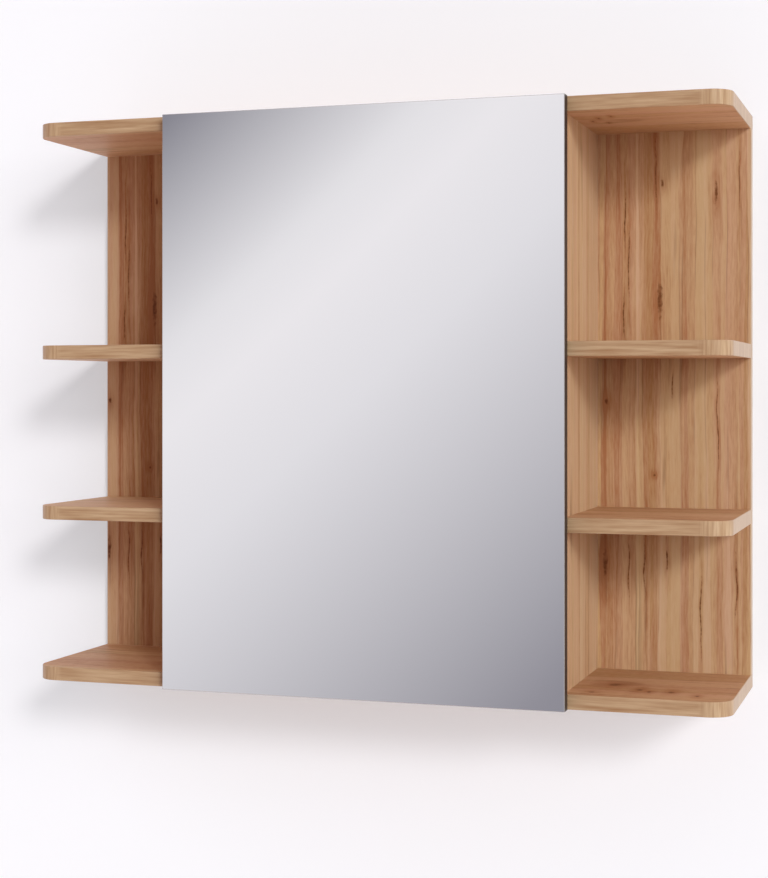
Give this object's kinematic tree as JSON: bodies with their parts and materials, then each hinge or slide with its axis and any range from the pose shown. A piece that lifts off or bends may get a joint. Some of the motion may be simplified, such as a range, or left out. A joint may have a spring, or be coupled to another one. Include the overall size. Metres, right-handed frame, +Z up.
{
  "type": "bathroom mirror cabinet",
  "caption": "Wall-hung bathroom cabinet with a hinged mirror door between open shelf bays in oak-grain board with rounded front corners.",
  "frame": {"origin": "midway between the two keyhole hangers, on the rear plane that meets the wall", "axes": "+X along the wall to the viewer's right, +Y into the wall, +Z up"},
  "size_m": [0.8, 0.2165, 0.646],
  "materials": {
    "oak_laminate": "oak-grain laminate on particle board, satin",
    "oak_edge_band": "oak-print ABS edge band, satin",
    "hardboard": "thin hardboard",
    "beech": "turned beech",
    "dark_board": "dark brown laminate on particle board",
    "dark_edge_band": "dark brown ABS edge band",
    "silvered_glass": "silvered float glass",
    "foam_tape": "double-sided foam tape",
    "nickel_steel": "nickel-plated steel",
    "zinc_steel": "zinc-plated steel",
    "silicone": "clear silicone"
  },
  "bodies": {
    "carcass": {"bottom_panel": "oak_laminate", "bottom_panel_edging": "oak_edge_band", "cam_bolts": "zinc_steel", "cam_locks": "zinc_steel", "centre_back_sheet": "hardboard", "dowels": "beech", "hanger_screws": "zinc_steel", "hinge_arm_pins": "nickel_steel", "hinge_clamp_screws": "nickel_steel", "hinge_plate_screws": "nickel_steel", "inner_lower_shelf": "oak_laminate", "inner_lower_shelf_edging": "oak_edge_band", "inner_upper_shelf": "oak_laminate", "inner_upper_shelf_edging": "oak_edge_band", "left_back_panel": "oak_laminate", "left_back_panel_edging": "oak_edge_band", "left_hanger_plate": "zinc_steel", "left_lower_shelf": "oak_laminate", "left_lower_shelf_edging": "oak_edge_band", "left_partition": "oak_laminate", "left_partition_edging": "oak_edge_band", "left_upper_shelf": "oak_laminate", "left_upper_shelf_edging": "oak_edge_band", "lower_hinge_arm": "nickel_steel", "lower_hinge_plate": "nickel_steel", "panel_screws": "zinc_steel", "right_back_panel": "oak_laminate", "right_back_panel_edging": "oak_edge_band", "right_hanger_plate": "zinc_steel", "right_lower_shelf": "oak_laminate", "right_lower_shelf_edging": "oak_edge_band", "right_partition": "oak_laminate", "right_partition_edging": "oak_edge_band", "right_upper_shelf": "oak_laminate", "right_upper_shelf_edging": "oak_edge_band", "shelf_pins": "zinc_steel", "top_panel": "oak_laminate", "top_panel_edging": "oak_edge_band", "upper_hinge_arm": "nickel_steel", "upper_hinge_plate": "nickel_steel"},
    "outer_links": {"lower_outer_link": "nickel_steel", "upper_outer_link": "nickel_steel"},
    "inner_links": {"lower_inner_link": "nickel_steel", "upper_inner_link": "nickel_steel", "inner_link_pins": "nickel_steel"},
    "door": {"door_panel": "dark_board", "door_edging": "dark_edge_band", "mirror_tape": "foam_tape", "mirror_glass": "silvered_glass", "door_bumpers": "silicone", "lower_hinge_cup": "nickel_steel", "upper_hinge_cup": "nickel_steel", "cup_pins": "nickel_steel", "cup_screws": "nickel_steel"}
  },
  "joints": [
    {"name": "outer_link_swing", "type": "hinge", "parent": "carcass", "child": "outer_links", "pos_m": [-0.193, -0.172, 0], "axis": [0, 0, -1], "range_deg": [-30.3, 0]},
    {"name": "inner_link_swing", "type": "hinge", "parent": "carcass", "child": "inner_links", "pos_m": [-0.184, -0.196, 0], "axis": [0, 0, -1], "range_deg": [-42.3, 0]},
    {"name": "door_swing", "type": "hinge", "parent": "outer_links", "child": "door", "pos_m": [-0.2195, -0.205, 0], "axis": [0, 0, -1], "range_deg": [0, 120]}
  ],
  "couplings": [
    {"joint": "outer_link_swing", "follows": "door_swing", "ratio": -0.25127},
    {"joint": "inner_link_swing", "follows": "door_swing", "ratio": -0.351}
  ]
}
